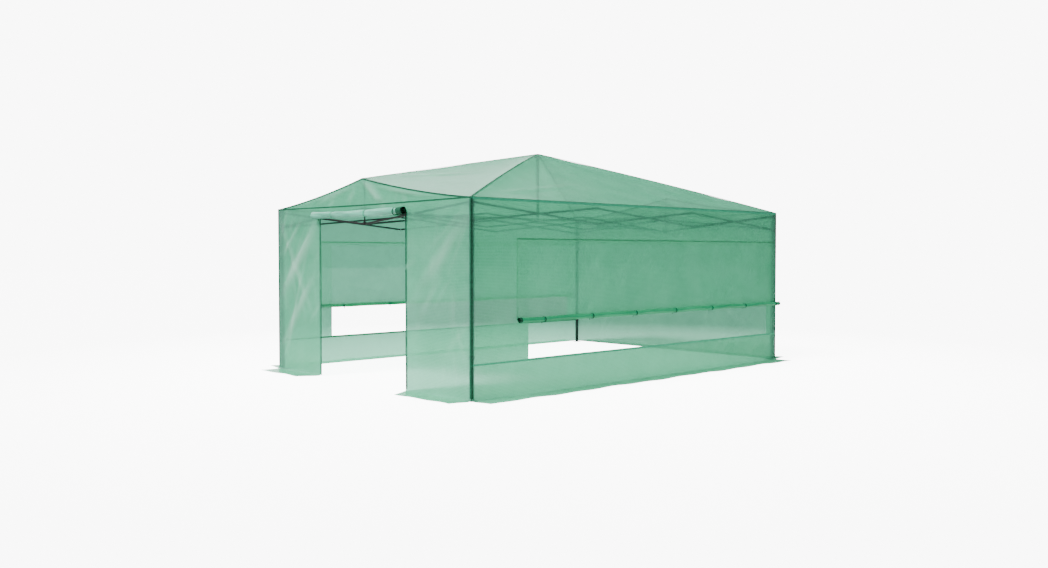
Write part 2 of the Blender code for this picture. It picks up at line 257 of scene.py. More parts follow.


# %% [markdown]
# ## Woven polyethylene film
# The cover is a scrim of thin tapes between two layers of clear green polyethylene. Light goes through it
# in three ways: some passes straight, so that things behind it show, some is scattered, so that it glows
# on the shaded side, and some is reflected by its smooth skin. A mix of three shaders gives the three.
# The scrim's squares are 6 mm. They are drawn at 12 mm, because finer ones vanish in a whole view. Where
# the film has been folded hard it turns whiter and less clear, and the same pale lines are also a painted
# highlight along the creases; a value on each sheet says where.

# %% The film
SCRIM = 0.012  # drawn size of a square of the scrim
THREAD = 0.20  # share of a square that a thread takes
CRUMPLE, DEPTH = 0.16, 0.010 # size and depth of the facets of crumpled film
FILM_TINTS = {"deep": "#4FA284", "pale": "#7ED1B2", "glow": "#68D0AA", "through": "#98CCB7"}
WOUND_TINTS = {"deep": "#0E8A5A", "pale": "#1FAE76", "glow": "#2CB67E"}
# Pale colour of hard folds: stress-whitened film, and a painted highlight along the creases.
FOLD_WHITE_AND_SHEEN = "#C4E8DA"
DOOR_TINTS = {"deep": "#297D63", "pale": "#6BC1A5", "glow": "#55B593"}


def scrim(tree, place):
    """1 on a thread and 0 between threads, from the fraction of each flat coordinate."""
    split = node(tree, "SeparateXYZ", {0: place})
    lines = []
    for axis in ("X", "Y"):
        step = node(tree, "Math", {0: split.outputs[axis], 1: SCRIM}, operation="DIVIDE")
        part = node(tree, "Math", {0: step}, operation="FRACT")
        lines.append(node(tree, "Math", {0: part, 1: 1 - THREAD}, operation="GREATER_THAN"))
    return node(tree, "Math", {0: lines[0], 1: lines[1]}, operation="MAXIMUM")


def crumple(tree, place, size, depth):
    """Facets between fold lines, from the distance to a Voronoi cell's edge, over soft noise."""
    bent = node(tree, "TexNoise", {"Vector": place, "Scale": 2.2, "Detail": 3.0})
    warp = node(tree, "MixRGB", {"Fac": 0.25, "Color1": place, "Color2": bent.outputs["Color"]})
    cells = node(tree, "TexVoronoi", {"Vector": warp, "Scale": 1 / size},
                 feature="DISTANCE_TO_EDGE")
    soft = node(tree, "TexNoise", {"Vector": place, "Scale": 0.5 / size, "Detail": 4.0})
    both = node(tree, "Math", {0: cells, 1: soft, 2: soft}, operation="MULTIPLY_ADD")
    bump = node(tree, "Bump", {"Height": both, "Strength": 0.9, "Distance": depth})
    return bump, soft


def film_finish(name, tints, clear, wound=False):
    """clear is the share of light that passes straight. Wound film lets none through."""
    finish, tree = new_finish(name)
    flat = node(tree, "UVMap", uv_map="Flat")
    threads = scrim(tree, flat)
    normal, cloud = crumple(tree, flat, CRUMPLE, DEPTH)
    colour = two_tones(tree, cloud, tints["deep"], tints["pale"], 0.35, 0.65)
    woven = node(tree, "MixRGB", {"Fac": threads, "Color1": colour, "Color2": linear(tints["pale"])})
    # Folds turn the film pale and less clear: stress-whitening, and a painted highlight along the creases.
    fold_white_and_sheen = node(tree, "Attribute", attribute_name="FoldWhiteAndSheen").outputs["Fac"]
    pale_folds_and_sheen = node(tree, "MixRGB", {"Fac": fold_white_and_sheen, "Color1": woven, "Color2": linear(FOLD_WHITE_AND_SHEEN)})
    skin = node(tree, "BsdfPrincipled", {
        "Base Color": pale_folds_and_sheen, "Roughness": 0.30, "Specular IOR Level": 0.3 if wound else 0.5,
        "Coat Weight": 0.0 if wound else 0.22, "Coat Roughness": 0.18, "Normal": normal})
    glow = node(tree, "BsdfTranslucent", {"Color": linear(tints["glow"]), "Normal": normal})
    body = node(tree, "MixShader", {"Fac": 0.25 if wound else 0.50, 1: skin, 2: glow})
    if not wound:
        open_share = node(tree, "Math", {0: threads, 1: -0.12, 2: clear}, operation="MULTIPLY_ADD")
        open_share = node(tree, "Math", {0: fold_white_and_sheen, 1: -0.20, 2: open_share},
                          operation="MULTIPLY_ADD", use_clamp=True)
        through = node(tree, "BsdfTransparent", {"Color": linear(tints["through"])})
        body = node(tree, "MixShader", {"Fac": open_share, 1: body, 2: through})
    node(tree, "OutputMaterial", {"Surface": body})
    return finish


woven_film = film_finish("Woven polyethylene film", FILM_TINTS, clear=0.57)
margin_film = film_finish("Thin clear margin film", {**FILM_TINTS, "through": "#F4FBF8"}, clear=0.92)
wound_film = film_finish("Polyethylene film, wound", WOUND_TINTS, clear=0.0, wound=True)
door_film = film_finish("Polyethylene film, door roll", DOOR_TINTS, clear=0.0, wound=True)

# %% [markdown]
# ## Binding tape
# The seams are bound with a dark green polyester tape about 18 mm wide. It is woven, so it is matt and
# shows ribs across its width. Ribs 1.5 mm apart are drawn at 4 mm, so that they show close up.

# %% The tape, the thread and the welded seam
def ribbed_finish(name, deep, pale, pitch, roughness):
    finish, tree = new_finish(name)
    flat = node(tree, "UVMap", uv_map="Flat")
    ribs = node(tree, "TexWave", {
        "Vector": flat, "Scale": 0.314 / pitch, "Distortion": 0.6, "Detail": 1.0},
        wave_type="BANDS", bands_direction="X")
    fuzz = node(tree, "TexNoise", {"Vector": flat, "Scale": 60.0, "Detail": 3.0})
    colour = two_tones(tree, fuzz, deep, pale, 0.3, 0.7)
    bump = node(tree, "Bump", {"Height": ribs.outputs["Fac"], "Strength": 0.4, "Distance": 0.001})
    cloth = node(tree, "BsdfPrincipled", {
        "Base Color": colour, "Roughness": roughness, "Specular IOR Level": 0.15, "Normal": bump})
    node(tree, "OutputMaterial", {"Surface": cloth})
    return finish


binding = ribbed_finish("Polyester binding tape", "#093A29", "#11543B", 0.004, 0.80)
welded = ribbed_finish("Welded film seam", "#2C9670", "#43B08A", 0.006, 0.50)
webbing = ribbed_finish("Black polypropylene webbing", "#15221D", "#24342D", 0.003, 0.75)
zip_coil = ribbed_finish("Nylon zip coil", "#1B5541", "#2A6E55", 0.002, 0.45)

# %% [markdown]
# ## Powder-coated steel, moulded nylon and zinc
# The tubes are bent from steel strip and powder coated black. The baked powder flows into a fine orange
# peel, about 2 mm from crest to crest, and wears thin where the parts rub. The brackets are moulded nylon
# with a fine spark-eroded grain. The rivets are zinc plated.

# %% Hard finishes
def hard_finish(name, deep, pale, grain, depth, roughness, metallic=0.0):
    """Two tones by slow noise, and a bump by fine noise whose scale is one over the grain's size."""
    finish, tree = new_finish(name)
    place = node(tree, "TexCoord").outputs["Object"]
    slow = node(tree, "TexNoise", {"Vector": place, "Scale": 9.0, "Detail": 5.0})
    fine = node(tree, "TexNoise", {"Vector": place, "Scale": 1 / grain, "Detail": 2.0})
    colour = two_tones(tree, slow, deep, pale, 0.35, 0.75)
    gloss = node(tree, "MapRange", {
        "Value": slow, "To Min": roughness - 0.08, "To Max": roughness + 0.08})
    bump = node(tree, "Bump", {"Height": fine, "Strength": 0.25, "Distance": depth})
    coat = node(tree, "BsdfPrincipled", {
        "Base Color": colour, "Metallic": metallic, "Roughness": gloss, "Normal": bump})
    node(tree, "OutputMaterial", {"Surface": coat})
    return finish


powder = hard_finish("Black powder coat on steel", "#121314", "#232526", 0.002, 0.0004, 0.46)
nylon = hard_finish("Moulded black nylon", "#141515", "#222424", 0.001, 0.0002, 0.58)
zinc = hard_finish("Zinc-plated steel", "#9A9C9D", "#C3C5C6", 0.003, 0.0002, 0.34, 1.0)

slots = {row["node"]: row["material_slot"] for row in frame["record"]["subparts"]}
hard = {"powder_coated_steel": powder, "black_nylon": nylon}
for name, obj in nodes.items():
    if slots[name] in hard:
        obj.data.materials.clear()
        obj.data.materials.append(hard[slots[name]])
print("hard nodes:", sum(slots[name] in hard for name in nodes))

# %% [markdown]
# ## Small shapes
# Tapes, straps, rivets and plugs are all one of two shapes: an outline carried along a path, or a
# profile turned round an axis. Several of them can be joined into one piece that moves as one.

# %% An outline along a path, and a turned profile
def round_faces(below, above):
    """Quads between two closed rings of point numbers."""
    return np.stack([below, np.roll(below, -1, 1), np.roll(above, -1, 1), above], -1).reshape(-1, 4)


def carried(path, outline, up, scale=None, loop=False, slot=0):
    """At each point of the path the outline's first number goes sideways and its second goes up."""
    path, outline = np.asarray(path, float), np.asarray(outline, float)
    ahead = np.roll(path, -1, 0) - np.roll(path, 1, 0) if loop else np.gradient(path, axis=0)
    ahead = unit(ahead)
    side = unit(np.cross(ahead, np.broadcast_to(up, path.shape)))
    lift = np.cross(side, ahead)
    scale = np.ones(len(path)) if scale is None else np.asarray(scale, float)
    wide = outline[None] * scale[:, None, None]
    points = path[:, None] + wide[..., :1] * side[:, None] + wide[..., 1:] * lift[:, None]
    rows, columns = points.shape[:2]
    corner = np.arange(rows * columns).reshape(rows, columns)
    if loop:
        faces = round_faces(corner, np.roll(corner, -1, 0)).tolist()
    else:
        faces = round_faces(corner[:-1], corner[1:]).tolist() + corner[[0, -1]].tolist()
    run = np.append(0, np.cumsum(np.linalg.norm(np.diff(path, axis=0), axis=1)))
    girth = np.append(0, np.cumsum(np.linalg.norm(np.diff(outline, axis=0), axis=1)))
    flat = joined(run[:, None], girth[None])
    return points.reshape(-1, 3), faces, flat.reshape(-1, 2), slot


def turned(profile, centre, axis, sides=12, slot=0):
    """Each profile point is a radius and a distance along the axis. A closed profile gives a ring."""
    profile, axis = np.asarray(profile, float), unit(np.asarray(axis, float))
    first = unit(np.cross(axis, (0.31, 0.87, 0.38)))
    second = np.cross(axis, first)
    turn = np.arange(sides) * math.tau / sides
    ring = np.cos(turn)[:, None] * first + np.sin(turn)[:, None] * second
    points = (np.asarray(centre, float) + profile[:, None, :1] * ring[None]
              + profile[:, None, 1:] * axis)
    corner = np.arange(len(profile) * sides).reshape(len(profile), sides)
    faces = round_faces(corner[:-1], corner[1:]).tolist()
    flat = joined(turn[None] * 0.02, profile[:, 1:])
    return points.reshape(-1, 3), faces, flat.reshape(-1, 2), slot


def piece_of(name, shapes, finishes, body):
    """Joins shapes into one piece, closes its poles and turns its faces outwards."""
    counts = np.cumsum([0] + [len(s[0]) for s in shapes])
    faces = [[i + start for i in f] for s, start in zip(shapes, counts) for f in s[1]]
    mesh = bpy.data.meshes.new(name)
    mesh.from_pydata(np.concatenate([s[0] for s in shapes]).tolist(), [], faces)
    flat = np.concatenate([s[2] for s in shapes])
    uv = mesh.uv_layers.new(name="Flat")
    loops = np.concatenate([np.asarray(f) for f in faces])
    uv.data.foreach_set("uv", flat[loops].astype(np.float32).ravel())
    mesh.polygons.foreach_set("material_index", [s[3] for s in shapes for _ in s[1]])
    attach(into_scene(name, mesh, finishes, 1e-6, 1e-7, outwards=True), body)


def band(width, thick):
    """A flat tape's outline with eased edges: wide sideways, thin upwards."""
    w, t = width / 2, thick / 2
    return [(-w, 0), (-w * 0.92, t), (w * 0.92, t), (w, 0), (w * 0.92, -t), (-w * 0.92, -t)]


# %% [markdown]
# ## The roof
# The roof is one hipped canopy over a central peak, with a low gable at each end. Four flat panels would
# look like card. Instead every point lies on a ray from the apex to a point of the eave, so one grid in
# angle and distance covers the whole roof without a seam. The long slopes belly down a little, the hips
# stand proud where the film is pulled over itself, and the gable edges hang between their corners.

# %% The eave line and the canopy
apex = np.array([0.0, 0.0, apex_z])


def gable_edge(x):
    """Height of the end wall's top edge: straight up to the middle, less a shallow sag."""
    t = 1 - np.abs(x) / side_x
    return eave_z + (gable_z - eave_z) * t - gable_sag * 4 * t * (1 - t)


def eave_points():
    """The canopy's edge, anticlockwise from the front right corner, with each point's run share."""
    y = stations([-end_y, end_y], 0.05)[:-1]
    x = stations([-side_x, 0, side_x], 0.04)[:-1]
    right = joined(side_x, y, eave_z)
    rear = joined(-x, end_y, gable_edge(x))
    ring = np.concatenate([right, rear, right * (-1, -1, 1), rear * (-1, -1, 1)])
    slope = np.sin(np.pi * (y + end_y) / (2 * end_y))
    half = np.sin(np.pi * np.abs(x) / side_x)
    sag = np.concatenate([0.030 * slope, 0.014 * half, 0.030 * slope, 0.014 * half])
    corner = np.minimum(np.abs(np.abs(ring[:, 0]) - side_x) + np.abs(np.abs(ring[:, 1]) - end_y), 9)
    return np.append(ring, ring[:1], 0), np.append(sag, sag[0]), np.append(corner, corner[0])


def canopy():
    ring, sag, corner = eave_points()
    out = stations([0, 1], 0.022)[:, None]
    points = apex + out[..., None] * (ring - apex)
    belly = 4 * out * (1 - out)
    proud = hip_proud * np.exp(-(corner * out / 0.12) ** 2)
    x, y = points[..., 0], points[..., 1]
    loose = ease(1 - out, 0.10) * ease(out, 0.12)
    pulls = [(0.05, -0.1, 1.45, -1.3, -0.005, 0.05), (0.1, 0.15, 1.5, 1.6, -0.006, 0.05),
             (1.5, -2.1, 0.9, -0.2, 0.005, 0.04), (1.5, 2.1, 0.8, 0.4, 0.005, 0.04),
             (0.0, -2.2, 0.5, -1.0, 0.006, 0.03), (-0.05, -2.2, -0.6, -1.1, 0.006, 0.03)]
    lines = np.concatenate([pulls, crease_lines(11, (-1.5, -2.2), (1.5, 2.2), 60, 1.2, 0.0035)])
    lift = (proud - sag) * belly + loose * (creases(x, y, lines) + billow(x, y, 0.9, 0.004, 3))
    points[..., 2] += lift + 0.0006
    piece = sheet_piece("roof_canopy_film", points, points[..., :2] + (9, 9), [woven_film], flip=True)
    return piece, grid_area(points)


roof, roof_area = canopy()
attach(roof, "cover")
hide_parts("roof_front", "roof_rear", "roof_left", "roof_right")
print("roof area", round(roof_area, 2), "m2,", len(roof.data.polygons), "faces")

# %% [markdown]
# ## The walls and their ground flaps
# Each wall runs down from the eave, turns outwards at the ground and lies there as a flap, so that soil or
# stones can hold it. Both parts are the same sheet. Going up the rows, the section first runs in along the
# ground and then up: with q the distance still to go to the fold, half of (q + sqrt(q^2 + r^2)) is the
# distance out and half of (sqrt(q^2 + r^2) - q) is the height, which is a soft bend of radius r.

# %% A wall's section, and its ripples on the ground
def wall_section(s, bend=0.016):
    """Distance out and height, from the distance s along the sheet, as in the words above."""
    q = skirt - s
    root = np.sqrt(q * q + bend * bend)
    return (q + root) / 2, (root - q) / 2 + 0.0012


def ground_ripple(along, out, seed):
    """Height of a ground flap's waves: a product of two sines that grows towards the outer edge."""
    share = np.clip(out / skirt, 0, 1)
    wave = 0.5 + 0.5 * np.sin(along * 9.0 + seed) * np.sin(along * 3.7 + 2 * seed)
    return 0.010 * wave * ease(share, 0.9)


def pulled_in(along, share, low, high, slants):
    """Ends of a ground flap are cut back by the slants at its outer edge."""
    t = np.clip((along - low) / (high - low), 0, 1)
    inside = (along >= low) & (along <= high)
    pull = share * (slants[0] * (1 - t) - slants[1] * t)
    return np.where(inside, along + pull, along)


def side_relief(y, z):
    """How far a long wall stands off its plane: waves and creases, times 0 where it is held, at the
    corners, the eave, the ground, the hem and the roll."""
    held = ease(end_y - np.abs(y), 0.20) * ease(eave_z - z, 0.15) * ease(z, 0.25)
    held = held * ease(np.abs(z - hem_z), 0.12) * ease(np.abs(z - roll_z), 0.12)
    lines = crease_lines(21, (-2.2, 0.1), (2.2, 1.6), 80, 0.9, 0.0042)
    tension = [(-2.25, 1.66, -1.2, 1.0, 0.005, 0.05), (2.25, 1.66, 1.1, 1.0, 0.005, 0.05),
               (-2.2, 0.05, -1.5, 0.5, 0.004, 0.04), (-0.75, 1.66, -0.2, 1.2, 0.003, 0.04),
               (0.75, 1.66, 0.3, 1.25, 0.003, 0.04)]
    waves = billow(y, z, 1.1, 0.0035, 5)
    return np.clip(held * (waves + creases(y, z, np.concatenate([tension, lines]))), -0.009, 0.004)


# %% The long walls
def between(value, low, high):
    return (value > low) & (value < high)


def side_wall(name, side):
    y = stations([-end_y, margin_y[0], *window_y, margin_y[1], end_y], 0.025)[None, :]
    s = skirt + stations([-skirt, 0, window_z[0], roll_z, window_z[1], hem_z - 0.008, eave_z],
                         0.025)[:, None]
    out, z = wall_section(s)
    share = out / skirt
    z = np.minimum(z, eave_z - 0.0004)
    y_now = pulled_in(y, share, -end_y, end_y, (0.020, 0.020))
    z_now = z + ground_ripple(y, out, 1.3 + side) * (s < skirt)
    x_now = side * (side_x - 0.0006 + out + side_relief(y, z))
    points = joined(x_now, y_now, z_now)
    y_mid, s_mid = (y[:, 1:] + y[:, :-1]) / 2, (s[1:] + s[:-1]) / 2 - skirt
    hole = between(y_mid, *window_y) & between(s_mid, *window_z)
    margin = between(y_mid, *margin_y) & between(s_mid, roll_z, hem_z - 0.008)
    piece = sheet_piece(name, points, joined(y + 9, s), [woven_film, margin_film], ~hole,
                        flip=side < 0, edge=margin)
    return piece, grid_area(points, ~hole)


def hang_wall(wall, area, word, flat):
    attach(wall, "cover")
    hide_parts(f"wall_{word}")
    print(wall.name, round(area, 2), "m2,", len(wall.data.polygons), "faces")


for word, side in SIDES:
    hang_wall(*side_wall(f"wall_{word}_film", side), word,
              (round(eave_z + skirt, 3), round(2 * end_y, 3)))

# %% [markdown]
# The end walls carry the low gable, and the front one has the doorway cut out of it. The gable's rows are
# squeezed towards the eave corners, where they meet in one point. Long folds run from the peak, because
# the film hangs from there and is slack above the truss.

# %% The end walls
def end_relief(x, z, has_door):
    """How far an end wall stands off its plane, and how pale its folds are, from 0 to 1, which is
    stress-whitening and a painted highlight along the creases. A fold's paleness is in proportion to its
    height."""
    held = ease(side_x - np.abs(x), 0.16) * ease(z, 0.25)
    low_lines = crease_lines(31 if has_door else 32, (-1.5, 0.1), (1.5, 1.6), 60, 1.0, 0.0060)
    low = creases(x, z, low_lines)
    tension = [(-1.55, 1.60, -0.85, 0.55, 0.012, 0.035), (-1.50, 0.75, -0.78, 1.55, 0.022, 0.055),
               (-1.50, 0.25, -0.80, 1.05, 0.018, 0.045), (1.62, 1.60, 0.75, 0.80, 0.011, 0.060),
               (-1.40, 0.15, -0.95, 1.35, 0.010, 0.022), (-1.50, 1.15, -1.05, 1.60, 0.010, 0.025),
               (1.45, 1.62, 0.70, 0.30, 0.004, 0.04), (-1.20, 1.30, -1.00, 0.40, 0.004, 0.03)]
    gable = [(0.00, 1.93, 0.38, 1.63, 0.022, 0.040), (-0.05, 1.88, -0.80, 1.70, 0.012, 0.028),
             (-0.30, 1.84, -1.25, 1.69, 0.010, 0.024), (0.12, 1.86, 0.95, 1.72, 0.010, 0.028),
             (0.40, 1.80, 1.25, 1.70, 0.009, 0.024), (-0.10, 1.84, -0.25, 1.66, 0.010, 0.030),
             (-0.45, 1.80, -0.60, 1.66, -0.007, 0.030), (0.60, 1.78, 0.70, 1.66, -0.006, 0.030)]
    below = ease(gable_edge(x) - z, 0.04)
    body = (low + creases(x, z, tension) + billow(x, z, 0.8, 0.004, 8)) * ease(1.70 - z, 0.12)
    # Fold lines turn pale in proportion to their height: stress-whitening and a painted crease highlight.
    folds = np.concatenate([low_lines, tension, gable])
    folds[:, 4] = np.abs(folds[:, 4]) / 0.030
    fold_white_and_sheen = np.clip(below * creases(x, z, folds), 0, 1)
    relief = below * (held * body + ease(z - eave_z, 0.03) * creases(x, z, gable))
    return np.clip(relief, -0.010, 0.022), fold_white_and_sheen


def end_wall(name, side, has_door):
    breaks = [-side_x, *door, side_x] if has_door else [-side_x, side_x]
    x = stations(breaks, 0.025)[None, :]
    s = stations([0, skirt, skirt + door_top, skirt + eave_z], 0.025)[:, None]
    out, z = wall_section(s)
    gable_share = stations([0, 1], 0.08)[1:, None]
    top = gable_edge(x) - 0.0008
    z = np.broadcast_to(np.minimum(z, eave_z), (len(s), x.shape[1]))
    z = np.concatenate([z, eave_z + gable_share * (top - eave_z)])
    out = np.concatenate([out, np.zeros_like(gable_share)])
    s = np.concatenate([s, skirt + eave_z + 0.24 * gable_share])
    relief, fold_white_and_sheen = end_relief(x, z, has_door)
    share = out / skirt
    panels = ((-side_x, door[0], (0.02, 0.12)), (door[1], side_x, (0.12, 0.02)))
    x_now = np.broadcast_to(x, z.shape)
    for low, high, slants in panels if has_door else ((-side_x, side_x, (0.02, 0.02)),):
        x_now = pulled_in(x_now, share, low, high, slants)
    z = z + ground_ripple(x, out, 2.1 + side) * (s < skirt)
    points = joined(x_now, side * (end_y - 0.0006 + out + relief), z)
    x_mid, s_mid = (x[:, 1:] + x[:, :-1]) / 2, (s[1:] + s[:-1]) / 2 - skirt
    hole = between(x_mid, *door) & (s_mid < door_top)
    keep = ~hole if has_door else np.ones_like(hole)
    piece = sheet_piece(name, points, joined(x + 9, z + skirt - out), [woven_film], keep,
                        flip=side > 0, fold_white_and_sheen=fold_white_and_sheen)
    return piece, grid_area(points, keep)


for word, side in ENDS:
    hang_wall(*end_wall(f"wall_{word}_film", side, side < 0), word,
              (round(2 * side_x, 3), round(gable_z + skirt, 3)))

# %% [markdown]
# ## Window flaps
# Outside each window hangs a flap of the same film, sewn on above the opening and rolled up from below.
# It lies against the wall, so it takes the wall's own relief plus a little more and never cuts into it.
# Real film winds on to the roll as the window opens. Here the flap is one sheet from the roll up to its
# hem.

# %% The flaps
tie_y = np.arange(roll_low.y + 0.30, roll_high.y, 0.62)  # the roll's ties, where the flap is flat


def window_flap(name, side):
    y = stations(flap_y, 0.025)[None, :]
    z = stations([roll_z, hem_z], 0.025)[:, None]
    loose = ease(hem_z - z, 0.10) * ease(z - roll_z, 0.10)
    lines = crease_lines(41, (-1.8, 0.65), (2.3, 1.35), 60, 0.4, 0.0045, (0.15, 0.55))
    own = np.abs(creases(y, z, lines)) + 0.004 * (1 + billow(y, z, 0.5, 1.0, 6)) / 2
    tied = 1 - sum(np.exp(-((y - t) / 0.06) ** 2) for t in tie_y)
    relief = (side_relief(y, z) + own) * loose * tied
    x_now = side * (flap_low.x + 0.0004 + np.maximum(relief, 0))
    return sheet_piece(name, joined(x_now, y, z), joined(y + 9, z), [woven_film], flip=side < 0)


for word, side in SIDES:
    flap = window_flap(f"window_flap_{word}_film", side)
    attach(flap, "cover")
    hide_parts(f"window_flap_{word}")
    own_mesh(flap)

# %% [markdown]
# ## Rolled film
# A rolled flap is a spiral in section: the radius grows evenly with the angle. The spiral is carried along
# the roll, pinched where a tie holds it and a little twisted in between, so that its outer turn shows
# long slanting folds. The edge of the cloth is bound, so both ends of the roll are dark.

# %% The rolls
def wound_roll(name, centre, along, inner, outer, turns, start, ties, edges, twist, film,
               wrinkle=0.0030):
    """centre is the line's points, along the unit direction; start is the angle of the inner end."""
    count = int(turns * 22)
    angle = start + np.linspace(0, math.tau * turns, count)[:, None]
    share = np.linspace(0, 1, count)[:, None]
    radius = inner + (outer - inner) * share
    run = np.linalg.norm(centre - centre[0], axis=1)[None, :]
    folds = 0.5 + 0.5 * np.sin(angle * 3 + run * twist) * np.sin(run * 4.3 + angle + 0.7)
    pinch = 1 - 0.14 * sum(np.exp(-((run - t) / 0.035) ** 2) for t in ties)
    radius = radius * pinch - wrinkle * folds * ease(share, 0.8)
    across = unit(np.cross(along, UP))
    points = (centre + (radius * np.cos(angle))[..., None] * across
              + (radius * np.sin(angle))[..., None] * UP)
    arc = np.cumsum(np.append(0, np.diff(angle[:, 0]) * (inner + (outer - inner) * share[1:, 0])))
    middle = (run[:, 1:] + run[:, :-1]) / 2
    edge = np.broadcast_to((middle < edges[0]) | (middle > run.max() - edges[1]),
                           (count - 1, run.shape[1] - 1))
    piece = sheet_piece(name, points, joined(run + 9, arc[:, None]), [film, binding], edge=edge)
    return piece, float(arc[-1])


def tie(way, centre, radius, axis, slot=0, tail=True):
    """A strap round a roll, and a short tail that hangs on the outer side."""
    w, r = 0.006, radius
    section = [(r, -w), (r + 0.0014, -w), (r + 0.0014, w), (r, w), (r, -w)]
    ring = turned(section, centre, axis, 20, slot)
    if not tail:
        return [ring]
    down = np.linspace(0, 1, 6)[:, None]
    out = unit(np.cross(UP, axis))
    tail = np.asarray(centre) + down * (0, 0, -0.030) + (r + 0.002 + 0.004 * down ** 2) * out * way
    tail = tail + (0, 0, -r * 0.3)
    return [ring, carried(tail, band(0.010, 0.0014), out, slot=slot)]


for word, side in SIDES:
    y = stations([roll_low.y, roll_high.y - 0.004], 0.03)
    sag = 0.004 * np.sin((y - y[0]) / 0.62 * math.pi) ** 2
    line = joined(side * roll_x, y, roll_z - sag)
    roll, cloth = wound_roll(f"window_roll_{word}_film", line, (0, 1, 0), 0.008, roll_radius - 0.0008,
                             3, 0.0 if side < 0 else math.pi, tie_y - roll_low.y, (0.018, 0.018),
                             5.0, wound_film)
    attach(roll, f"window_roll_{word}")
    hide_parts(f"window_roll_{word}")
    straps = [s for t in tie_y
              for s in tie(side, (side * roll_x, t, roll_z - 0.002), roll_radius * 0.875, (0, 1, 0))]
    piece_of(f"window_roll_ties_{word}", straps, [binding], f"window_roll_{word}")
    print(roll.name, "cloth in the roll", round(cloth, 3), "m")

# %% The rolled-up door
door_low, door_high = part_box("door_roll")
door_roll_z, door_roll_y = (door_low.z + door_high.z) / 2, (door_low.y + door_high.y) / 2
door_radius = (door_high.z - door_low.z) / 2
x = stations([door_low.x, door_high.x], 0.02)
slump = 0.007 * np.sin(np.pi * (x - x[0]) / (x[-1] - x[0])) + 0.004 * (x[-1] - x) / (x[-1] - x[0])
line = joined(x, door_roll_y, door_roll_z - slump)
door_ties = np.array([0.36, 0.92, 1.38])
door_roll, door_cloth = wound_roll("door_roll_film", line, (1, 0, 0), 0.010, door_radius - 0.0008,
                                   10, 0.0, door_ties, (0.0, 0.085), 11.0, door_film, wrinkle=0.0075)
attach(door_roll, "cover")
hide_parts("door_roll")
straps = [s for i, t in enumerate(door_ties)
          for s in tie(-1, (door_low.x + t, door_roll_y, door_roll_z - 0.008), door_radius * 0.875,
                       (1, 0, 0), slot=int(i == 2), tail=False)]
piece_of("door_roll_ties", straps, [welded, binding], "cover")
print("door cloth in the roll", round(door_cloth, 3), "m")

# %% [markdown]
# ## Bound edges
# A tape is folded over each seam and sewn down. On the model it is a thin band that follows the seam's
# line: along the eaves, gables, ridges and hips, down the corners, round the doorway and the windows. It
# sits just proud of the film. Hips and ridges use the canopy's own formula, so they touch it all along.

# %% Lines on the roof
TAPE, TAPE_THICK, HEM_THICK = 0.018, 0.0022, 0.0016


def ray_tape(corner, proud):
    """A tape from the apex to a point of the eave, as the canopy runs there."""
    out = np.linspace(0.004, 1, 60)[:, None]
    points = apex + out * (np.asarray(corner) - apex)
    points[:, 2] += (4 * out * (1 - out))[:, 0] * proud + 0.0022
    return carried(points, band(TAPE, TAPE_THICK), UP)


def taped(x, y, z, width, up, thick=TAPE_THICK, slot=0):
    """A flat tape along a line. A coordinate that doesn't change may be one number."""
    return carried(joined(x, y, z), band(width, thick), up, slot=slot)


roof_lines = []
gable_x = np.linspace(side_x, 0, 50)
eave_y = stations([-end_y, end_y], 0.08)
for sx in (1, -1):
    for sy in (1, -1):
        face_y, edge_z = sy * (end_y + 0.0008), gable_edge(gable_x) - 0.004
        roof_lines += [ray_tape((sx * side_x, sy * end_y, eave_z), hip_proud),
                       taped(sx * gable_x, face_y, edge_z, 0.012, (0, sy, 0)),
                       taped(sx * gable_x, face_y - sy * 0.006, edge_z + 0.0062, 0.013, UP)]
    face_x = sx * (side_x + 0.0010)
    roof_lines += [taped(face_x, eave_y, eave_z - 0.008, TAPE, (sx, 0, 0), slot=1),
                   taped(face_x - sx * 0.006, eave_y, eave_z + 0.0045, 0.013, UP)]
for sy in (1, -1):
    roof_lines.append(ray_tape((0, sy * end_y, gable_z), 0.0))
piece_of("roof_bindings", roof_lines, [binding, welded], "cover")
print("tapes on the roof:", len(roof_lines))

# %% Lines on the walls
wall_lines = []
tall = np.linspace(0.012, eave_z - 0.004, 40)
for sx in (1, -1):
    for sy in (1, -1):
        x, y = sx * (side_x - 0.001), sy * (end_y + 0.001)
        wall_lines += [taped(x - sx * 0.007, y, tall, 0.016, (0, sy, 0)),
                       taped(x + sx * 0.0025, y - sy * 0.009, tall, 0.016, (sx, 0, 0))]
front_face = -end_y - 0.001
for at in door:
    wall_lines.append(taped(at, front_face, np.linspace(0.010, door_top, 40), 0.014, (0, -1, 0)))
wall_lines.append(taped(np.linspace(*door, 30), front_face, door_top, 0.014, (0, -1, 0)))
cross = np.linspace(-side_x, side_x, 60)
sagging = eave_z - 0.010 * (1 - (cross / side_x) ** 2)
for sy in (1, -1):
    wall_lines.append(taped(cross, sy * (end_y + 0.0012), sagging, 0.012, (0, sy, 0)))
piece_of("wall_bindings", wall_lines, [binding], "cover")
print("tapes on the walls:", len(wall_lines))

# %% [markdown]
# The hems of the ground flaps and the welded seams are film on film, so they are only a shade darker than
# the sheet. One welded seam runs along each long wall at the sill of the window.

